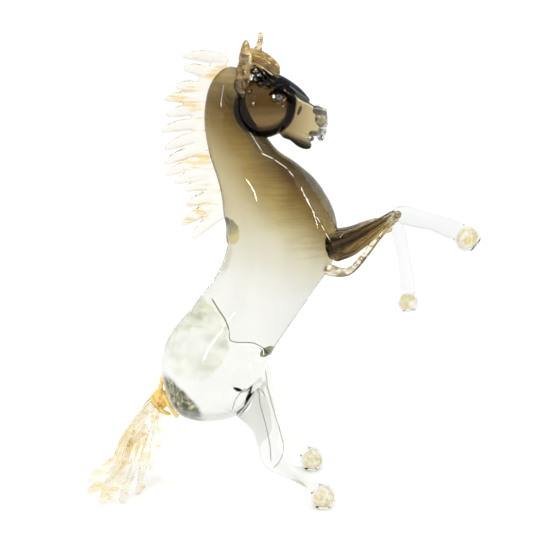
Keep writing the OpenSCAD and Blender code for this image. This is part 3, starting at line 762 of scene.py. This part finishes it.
# ---- Head -----------------------------------------------------------------------------------

FACE = [
    [-20, 0, 316, 9, HEAD_HALF * 0.62],
    [-8, 0, 312, 15, HEAD_HALF * 0.80],
    [5, 0, 303.5, 16, HEAD_HALF * 0.74],
    [13, 0, 294, 16, HEAD_HALF * 0.60],
    [22, 0, 290.5, 12.5, HEAD_HALF * 0.50],
    [28, 0, 288, 9.5, HEAD_HALF * 0.46],
    [32, 0, 286, 6, HEAD_HALF * 0.36],
]
JAW = [
    [2, 0, 287, 8, 8.5],
    [11.5, 0, 283, 7, 7.5],
    [17.5, 0, 276.8, 5.6, 6.8],
    [24.3, 0, 270.8, 4.2, 5.4],
]

head_surface = joined(
    egg(JOWL, (JOWL_R, HEAD_HALF, JOWL_R), power=0.8),
    loft(FACE, 60, 48, 0.8, 0.9),
    loft(JAW, 30, 28, 0.6, 0.9),
)
fuse(piece("head", head_surface, HEAD_GLASS, ("jowl", "face", "lower_jaw")),
     0.8, 5)


def pair(middle, half):
    """A ball on each side of the head; the middle given is the far one's."""
    x, y, z = middle
    return egg((x, -y, z), half), egg(middle, half)


muzzle_surface = joined(
    *pair((31.5, 4.5, 293.5), (4.8, 4.6, 6.2)),
    *pair((33, 5.6, 297.2), (3.0, 3.0, 2.8)),
    *pair((28.5, 5.6, 299.0), (3.4, 2.8, 2.4)),
    egg((32.4, 0, 284), (3.6, 7.2, 4.6)),
    egg((31.5, 0, 278.8), (3.0, 6.4, 2.6)),
    egg((26, 0, 282.0), (3.6, 6.8, 2.4)),
    egg((33.6, 0, 289.5), (3, 5, 4.5)),
    *pair((24.0, 6.0, 279.0), (2.6, 2.2, 2.2)),
)
fuse(piece("muzzle_bit", muzzle_surface, CRYSTAL_GLASS,
           ("muzzle", "near_nostril", "far_nostril")), 0.6, 2)

# Lids: ahead of the eye's middle, out from it and above it, then the two half thicknesses.
BROW = [(-7, -0.6, 0.8, 0.7, 1.2), (-3.5, 0.9, 3.6, 1.2, 1.7), (1, 0.9, 4.4, 1.3, 1.7),
        (5, -0.2, 2.0, 1.1, 1.4), (8, -1.6, -2.4, 0.6, 1.0)]
LOWER_LID = [(-6, -0.6, 0.4, 0.5, 0.9), (-4, 0.8, -2.4, 0.9, 1.3),
             (-0.5, 1.2, -3.8, 1.0, 1.4), (3.4, 0.4, -2.8, 0.9, 1.2),
             (5.6, -0.8, -0.6, 0.5, 0.9)]
for side, label in SIDES:
    y = side * EYE[1]
    piece(f"{label}_eye_bead", egg((EYE[0], y, EYE[2]), (3.2, 2.8, 3.0), 16, 24),
          EYE_GLASS, (f"{label}_eye",))
    brow, lower = ([[EYE[0] + ahead, y + side * outward, EYE[2] + up, *size]
                    for ahead, outward, up, *size in lid] for lid in (BROW, LOWER_LID))
    piece(f"{label}_brow", loft(brow, 30, 16, 0.4, 0.4), DARK_HAIR)
    piece(f"{label}_lower_lid", loft(lower, 30, 16, 0.4, 0.4), EAR_GLASS)
    # Painted highlight: a small white bead on the eye.
    piece(f"{label}_eye_spark", egg((EYE[0] - 3.4, y + side * 1.6, EYE[2] + 0.4),
                                    (0.9, 0.6, 1.3), 10, 14), GLINT)

# Crimped locks of dark glass combed down over the brow, with clear ones between them.
for side, label in SIDES:
    curls = {"dark": [], "clear": []}
    for n in range(11):
        f = n / 10
        s = np.linspace(0, 1, 9)
        x = -22 + 8 * f + (15 - 2 * f) * s
        z = 330 - 13 * f + 3 * np.sin(math.pi * s) * (1 - f) - (4.0 - 4 * f) * s
        z = z + 0.9 * np.sin(2 * math.pi * (2.3 * s + 0.37 * n))
        down = np.clip((326 - z) / 18, -0.2, 1)
        y = side * (HEAD_HALF * (0.50 + 0.36 * down) + 0.6 * np.cos(5 * s + n) - 1.0 * s)
        curls["dark" if n % 2 else "clear"].append(
            thread(np.stack([x, y, z], -1), 0.85 if n % 2 else 0.6))
    piece(f"{label}_dark_curls", joined(*curls["dark"]), DARK_HAIR)
    piece(f"{label}_clear_curls", joined(*curls["clear"]), FORELOCK_GLASS)


# ---- Ears, crown and forelock ---------------------------------------------------------------

def ribbed(ribs, depth, twist=0.0):
    """Ribs along a strand: the radius swells and sinks with the turn, twisting with the place."""
    def shape(s, angle):
        return 1 + depth * np.cos(ribs * angle + twist * s)
    return shape


CROWN_Z = box_mm("crown_bit")[1][2] - 8
EAR_TOP = box_mm("near_ear")[1][2]
FAR_EAR_TOP = box_mm("far_ear")[1][2]
EAR_Y = 9.0

crown_surface = joined(
    loft([[-25, 0, CROWN_Z - 14, 5, 9], [-24, 0, CROWN_Z - 4, 6, 9.5],
          [-22, 0, CROWN_Z + 8, 5, 6]], 24, 32, 0.7, 0.9),
    *[loft([[-26, side * 8, CROWN_Z - 20, 2.2, 2.2], [-28, side * 10, CROWN_Z - 13, 3.2, 3.0],
            [-25, side * 11, CROWN_Z - 6, 3.4, 3.0], [-22, side * 9, CROWN_Z + 2, 3.2, 3]],
           30, 24, 0.5, 0.5, shape=ribbed(3, 0.2, 2.5)) for side in (-1, 1)],
)
fuse(piece("crown", crown_surface, EAR_GLASS, ("crown_bit",)), 0.7, 1)

near_ear_line = [
    [-24, -EAR_Y, CROWN_Z - 16, 3.6, 3.8],
    [-23.4, -EAR_Y - 0.5, CROWN_Z - 5, 3.2, 3.4],
    [-23.0, -EAR_Y - 1, CROWN_Z + 6, 4.4, 3.2],
    [-22.7, -EAR_Y - 1, CROWN_Z + 13, 3.2, 2.6],
    [-22.4, -EAR_Y - 1, EAR_TOP - 0.5, 1.3, 1.1],
]
root = joined(egg((-26.5, -EAR_Y - 1.5, CROWN_Z - 14), (3.0, 2.6, 4.6), 16, 24),
              egg((-22.6, -EAR_Y - 2.2, CROWN_Z - 10), (2.8, 2.4, 3.8), 16, 24),
              egg((-24.8, -EAR_Y - 1.2, CROWN_Z - 19), (2.0, 2.0, 3.4), 16, 24),
              egg((-20.0, -EAR_Y - 1.0, CROWN_Z - 17), (2.4, 2.0, 2.4), 16, 24))
fuse(piece("near_ear_root", root, EAR_ROOT), 0.5, 2)
piece("near_ear_bit", loft(near_ear_line, 48, 28, 0.5, 0.4, shape=ribbed(4, 0.12, 0.4)),
      EAR_GLASS, ("near_ear",))
far_ear_line = [
    [-22, EAR_Y, CROWN_Z - 10, 3.6, 4],
    [-19.5, EAR_Y + 0.5, CROWN_Z + 3, 3.2, 3],
    [-14, EAR_Y + 1, CROWN_Z + 11, 2.6, 2.4],
    [-12.6, EAR_Y + 1, CROWN_Z + 17, 1.7, 1.7],
    [-12, EAR_Y + 1, FAR_EAR_TOP - 0.5, 1.6, 1.4],
]
piece("far_ear_bit", loft(far_ear_line, 60, 28, 0.5, 0.3, shape=ribbed(3, 0.18, 4.0)),
      EAR_GLASS, ("far_ear",))

for n in range(3):
    y, lift = (n - 1) * 6.0, (n - 1) * 2.4
    for k in range(3):
        dy, dz = 1.9 * (k - 1), (1.5, 0.0, 1.5)[k]
        line = [[-20.5, y * 0.6 + dy, CROWN_Z + 7 + lift + dz, 1.5, 1.5],
                [-12, y * 0.9 + dy, CROWN_Z + 4.2 + lift + dz, 2.1, 1.9],
                [-4, y + dy, CROWN_Z - 1.5 + lift + dz, 2.1, 1.9],
                [1.6, y * 0.8 + dy * 0.7, CROWN_Z - 6 + lift + 0.6 * dz, 1.3, 1.3]]
        made = loft(line, 40, 16, 0.3, 0.35)
        piece(f"forelock_strand_{n + 1}_{k + 1}", made, FORELOCK_GLASS,
              (f"forelock_{n + 1}",))


# ---- Mane -----------------------------------------------------------------------------------

SPINE_END = len(SPINE) - 1


def crest(s):
    """Points on the crest of the neck at places s of the spine, domed over the poll."""
    s = np.atleast_1d(np.asarray(s, float))
    rows = along(SPINE, s)
    inward = section_axes(SPINE, s)[2]
    return rows[:, :3] - (rows[:, 3] * rounded(SPINE_END - s, POLL_DOME))[:, None] * inward


def crest_out(s):
    """Way out from the crest: square to its own line, in the plane of the neck."""
    s = np.atleast_1d(np.asarray(s, float))
    return np.cross(unit(crest(s + 0.04) - crest(s - 0.04)), [0.0, 1.0, 0.0])


RIDGE_HEIGHT, RIDGE_SINK, RIDGE_HALF, LOCK_SINK = 9.0, 2.0, 3.0, 3.0
MANE_TOP, MANE_FOOT = SPINE_END - 0.1, 7.75
RIDGE_STEPS = 14
places = np.linspace(MANE_TOP, MANE_FOOT, RIDGE_STEPS + 1)
ridge_middle = crest(places) + (RIDGE_HEIGHT - RIDGE_SINK) / 2 * crest_out(places)
ridge_line = np.hstack([ridge_middle,
                        np.full((len(places), 1), (RIDGE_HEIGHT + RIDGE_SINK) / 2),
                        np.full((len(places), 1), RIDGE_HALF)])
# Painted shade and painted highlight: a thin dark line and a thin white line just inside the crest.
for sunk, size, glass, label in ((1.4, 0.45, DARK_HAIR, "dark"), (2.7, 0.35, GLINT, "bright")):
    places = np.linspace(7.6, 10.4, 16)
    line = crest(places) - sunk * crest_out(places) + np.array([0, -3.5, 0])
    piece(f"crest_{label}_line", thread(line, size), glass)

mane_parts = [loft(ridge_line, 120, 28, 0.8, 0.8)]

LOCKS = sum(name.startswith("mane_lock_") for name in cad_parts)
LOCK_REACH = [25, 14, 14, 21, 18, 23, 22, 25, 27, 22, 17, 18, 25, 21]
LOCK_DROOP = [-8, -17, -10, -2, 6, 9, 16, 18, 15, 9, 9, 15, 27, 40]
for n in range(LOCKS):
    s = MANE_TOP - 0.05 + (MANE_FOOT + 0.17 - MANE_TOP) * n / (LOCKS - 1)
    root = (crest(s) + (RIDGE_HEIGHT - LOCK_SINK) * crest_out(s))[0]
    reach = LOCK_REACH[n] + LOCK_SINK
    droop = math.radians(LOCK_DROOP[n])
    way = np.array([-math.cos(droop), 0, -math.sin(droop)])
    up = np.array([-math.sin(droop), 0, math.cos(droop)])
    sway = np.array([0, 1.6 * math.sin(math.radians(150 * n)), 0])
    start = root - 5 * way
    line = [[*start, 3.6, 2.6],
            [*(root + reach * 0.30 * way + 1.2 * up + 0.5 * sway), 4.4, 3.2],
            [*(root + reach * 0.68 * way + 0.6 * up + sway), 3.6, 2.9],
            [*(root + reach * way - up + 1.2 * sway), 1.9, 1.8]]
    mane_parts.append(loft(line, 44, 28, 0.5, 0.35, shape=ribbed(4, 0.06, 0.7)))
fuse(piece("mane", joined(*mane_parts), MANE_GLASS,
           ("mane_ridge", *(f"mane_lock_{n + 1:02d}" for n in range(LOCKS)))), 0.75, 3)


# ---- Forelegs -------------------------------------------------------------------------------

Y = NEAR_FORE_Y
near_forearm_surface = loft(
    [[36, -10, 197, 11, 9], [50, Y, 202, 9.6, 7.5], [57, Y, 205.4, 8.4, 6.5],
     [66, Y, 210.5, 6.8, 6], [76, Y, 217.5, 4.6, 5.4], [88, Y, 225, 4.4, 5.2]],
    90, 60, 0.4, 0.3, shape=ribbed(7, 0.09, 0.3))
piece("near_forearm_strands", near_forearm_surface, SMOKE_GLASS,
      ("near_forearm",))
near_strap = loft([[34, -12, 183, 5, 6], [48, Y, 180.8, 3.4, 4], [56, Y - 1, 184.2, 2.6, 3.4],
                   [65, Y - 1, 195, 2.4, 3.2], [75, Y - 1, 209, 2.4, 3.2],
                   [86, Y, 221, 3.0, 3.6]], 70, 32, 0.4, 0.3, shape=ribbed(3, 0.10, 0.8))
piece("near_forearm_strap", near_strap, STRAP_GLASS)
Y = FAR_FORE_Y
far_forearm_surface = joined(
    loft([[38, 10, 200, 7, 8], [54, Y - 1, 203, 4.6, 6], [72, Y, 209.5, 4.0, 5],
          [87, Y, 210.5, 4.4, 5]], 40, 28, 0.4, 0.3, shape=ribbed(5, 0.10)),
    loft([[40, 12, 192, 7, 7], [56, Y, 196, 4.4, 5.6], [74, Y + 1, 205, 4, 5],
          [87, Y, 207, 4, 4.5]], 40, 28, 0.4, 0.3),
)
fuse(piece("far_forearm_strands", far_forearm_surface, SMOKE_GLASS,
           ("far_forearm",)), 0.7, 2)

Y = NEAR_FORE_Y
near_shank_line = [[84, Y, 222, 4, 4.4], [90, Y, 224.3, 6.6, 6.2], [102, Y, 221.5, 6.9, 6.2],
                   [114, Y, 218.5, 6.3, 5.9], [125, Y, 214.5, 7.2, 6.1], [133, Y, 211.3, 6.8, 6],
                   [138, Y, 208.5, 6, 6]]
fuse(piece("near_foreleg", joined(loft(near_shank_line, 60, 36, 0.5, 0.5),
                                  hoof(*HOOVES["near_fore"])), CLEAR_GLASS,
           ("near_fore_shank", "near_fore_hoof")), 0.7, 8)
Y = FAR_FORE_Y
far_shank_line = [[84, Y, 212.5, 4, 4.4], [88.5, Y, 211, 5.4, 5.4], [92, Y, 202, 5.6, 5.6],
                  [95.5, Y, 187, 5.1, 5.2], [98, Y, 172, 5.3, 5.2], [99.3, Y, 162, 6.1, 5.5],
                  [100, Y, 152, 5.2, 5.2]]
fuse(piece("far_foreleg", joined(loft(far_shank_line, 60, 36, 0.5, 0.5),
                                 hoof(*HOOVES["far_fore"])), CLEAR_GLASS,
           ("far_fore_shank", "far_fore_hoof")), 0.7, 8)

# Knob of brown glass where each forearm is pulled off at the knee.
KNEES = {"near": (87.5, NEAR_FORE_Y - 4.5, 225.5), "far": (86, FAR_FORE_Y - 4, 212)}
for label, (x, y, z) in KNEES.items():
    knob = joined(egg((x, y, z), (2.6, 2.2, 3.0), 14, 20),
                  egg((x - 2.2, y - 0.4, z - 2.0), (1.8, 1.6, 1.6), 12, 16))
    piece(f"{label}_knee_knob", knob, EAR_GLASS)


# ---- Tail -----------------------------------------------------------------------------------

knot_surface = joined(
    egg((-90.5, 0, 74), (7.0, 8.6, 8.0), 24, 40),
    loft([[-88.5, 0, 94, 1.5, 1.7], [-89.5, -1, 86, 1.7, 1.8], [-91, 0, 78, 3.0, 3.0]],
         24, 20, 0.4, 0.3),
    loft([[-88, -8, 82, 2.0, 2.2], [-82, -10, 73, 2.4, 2.4], [-78, -9, 66, 2.4, 2.4],
          [-78, -5, 61.5, 1.6, 1.6]], 36, 20, 0.4, 0.4),
    loft([[-97, -4, 79, 1.6, 1.8], [-93, -9, 73, 1.9, 2.0], [-87, -10, 67.5, 1.9, 2.0],
          [-82, -6, 64, 1.4, 1.4]], 36, 20, 0.4, 0.4),
)
fuse(piece("tail_band", knot_surface, KNOT_LEAF, ("tail_knot",)), 0.6, 1)

TAIL_TIPS = [
    [-145.5, -0.22, 1.6, -9.5, 1], [-134, -0.5, 1.6, -6, 0.95], [-119, -0.46, 1.6, -2.5, 0.85],
    [-108, -0.2, 1.6, -1, 0.75], [-99.5, 0.06, 12, 1.5, 0.58], [-94.5, 0.18, 25, -0.5, 0.5],
    [-131, 0.42, 1.6, -5, 0.9],
]
TAIL_SPREAD, TAIL_HALF = 62.0, 4.3


def tail_line(tip_x, share, tip_z, bow, thick, root):
    """Stations of a tail strand: it leaves the root level, then falls and kicks out to its tip."""
    y, r = share * TAIL_SPREAD, TAIL_HALF * thick
    drop = root[2] - tip_z
    line = [[*root, r * 0.9, r * 0.9]]
    for f, side_share, fall, bend, size in ((0.32, 0.42, 0.16, 0.8, 1.1),
                                            (0.58, 0.75, 0.44, 0.85, 1.1),
                                            (0.78, 0.92, 0.74, 0.9, 0.9)):
        line.append([root[0] + (tip_x - root[0]) * f - bow * bend,
                     root[1] + (y - root[1]) * side_share, root[2] - drop * fall,
                     r * size, r * size])
    line.append([tip_x, y, tip_z, r * 0.8, r * 0.8])
    return line


STRANDS = 4
tail_parts = []
for n, (tip_x, share, tip_z, bow, thick) in enumerate(TAIL_TIPS):
    count = STRANDS if thick > 0.7 else 1
    for k in range(count):
        turn = 2 * math.pi * (k + 0.3 * n) / count
        off = 0.62 * TAIL_HALF * thick * (count > 1)
        size = thick * (0.56 if count > 1 else 0.95)
        end_z = tip_z + (4.5 * ((k * 7 + n * 3) % 4) if count > 1 else 0)
        line = np.array(tail_line(tip_x, share, end_z, bow, size,
                                  (-89.5, share * TAIL_SPREAD * 0.1, 76.0)))
        fan = np.array([0.5, 1.25, 1.35, 1.0, 0.65])
        line[:, 0] += off * fan * math.cos(turn)
        line[:, 1] += off * fan * math.sin(turn)
        twist = ribbed(2, 0.22, 16.0) if n == 4 else ribbed(3, 0.07, 0.7)
        tail_parts.append(loft(line, 90 if n == 4 else 56, 20, 0.3, 0.2, shape=twist))
    if n < 4 or n == 6:
        tip = np.array([tip_x, share * TAIL_SPREAD, tip_z + 1.6])
        tail_parts.append(egg(tip, (2.6, 2.6, 2.9), 14, 20))
        tail_parts.append(egg(tip + (3.4, 1.6, 2.4), (2.0, 2.0, 2.2), 14, 20))
fuse(piece("tail", joined(*tail_parts), TAIL_GLASS,
           tuple(f"tail_lock_{n + 1}" for n in range(len(TAIL_TIPS)))), 0.75, 2)


# ---- Studio ---------------------------------------------------------------------------------

def stage_plane(name, middle, half_x, half_y, material):
    """Level sheet that belongs to the studio and not to the part."""
    mesh = bpy.data.meshes.new(name)
    x, y, z = middle
    mesh.from_pydata([(x - half_x, y - half_y, z), (x + half_x, y - half_y, z),
                      (x + half_x, y + half_y, z), (x - half_x, y + half_y, z)], [],
                     [(0, 1, 2, 3)])
    mesh.materials.append(material)
    thing = stand(name, mesh)


floor_paint = Recipe("pale_floor")
pale = floor_paint.mix(floor_paint.noise(3.0, 2.0), (0.93, 0.93, 0.93), (0.95, 0.95, 0.95))
floor_paint.put(floor_paint.surface, Base_Color=pale, Roughness=0.9, Specular_IOR_Level=0.1)
stage_plane("floor", (0, 0, -0.0002), 12, 12, floor_paint.material)


def lamp(name, place, aim, size, power):
    """Oblong lamp that faces a point; its size is (width, height) in metres."""
    data = bpy.data.lights.new(name, "AREA")
    data.shape = "RECTANGLE"
    data.size, data.size_y = size
    data.energy = power
    thing = stand(name, data)
    thing.location = place
    way = np.array(aim, float) - np.array(place, float)
    thing.rotation_mode = "QUATERNION"
    thing.rotation_quaternion = Vector(way).to_track_quat("-Z", "Y")


lamp("near_strip", (-0.62, -1.35, 0.75), (-0.03, 0, 0.2), (0.025, 0.9), 9.0)
lamp("breast_strip", (1.15, -0.62, 0.65), (0.03, 0, 0.2), (0.03, 0.9), 6.5)

sky = bpy.data.lights.new("soft_overhead", "SUN")
sky.energy = 0.75
sky.angle = math.radians(70)
stand("soft_overhead", sky).rotation_euler = (math.radians(8), math.radians(-10), 0.0)

# White tent all round, dimmer in a cone behind the viewer so that dark glass keeps its depth.
world = bpy.data.worlds.new("studio_air")
bpy.context.scene.world = world
world.use_nodes = True
tree = world.node_tree
background = tree.nodes["Background"]
direction = tree.nodes.new("ShaderNodeTexCoord").outputs["Generated"]
split = tree.nodes.new("ShaderNodeSeparateXYZ")
tree.links.new(direction, split.inputs[0])
depth = tree.nodes.new("ShaderNodeMapRange")
tree.links.new(split.outputs["Y"], depth.inputs["Value"])
depth.inputs["From Min"].default_value = -0.92
depth.inputs["From Max"].default_value = -0.55
depth.inputs["To Min"].default_value = 0.18
depth.inputs["To Max"].default_value = 1.0
tree.links.new(depth.outputs[0], background.inputs["Strength"])
background.inputs["Color"].default_value = (1.0, 1.0, 1.0, 1.0)

LENS = 90.85
LENS_PLACE = (-0.0019, -1.0, 0.47)
LENS_DIP = 16.49
camera = bpy.data.cameras.new("camera")
camera.sensor_width = 36.0
camera.lens = LENS
eye = stand("camera", camera)
eye.location = LENS_PLACE
eye.rotation_euler = (math.radians(90 - LENS_DIP), 0.0, 0.0)
bpy.context.scene.camera = eye
bpy.context.scene.view_settings.view_transform = "Standard"
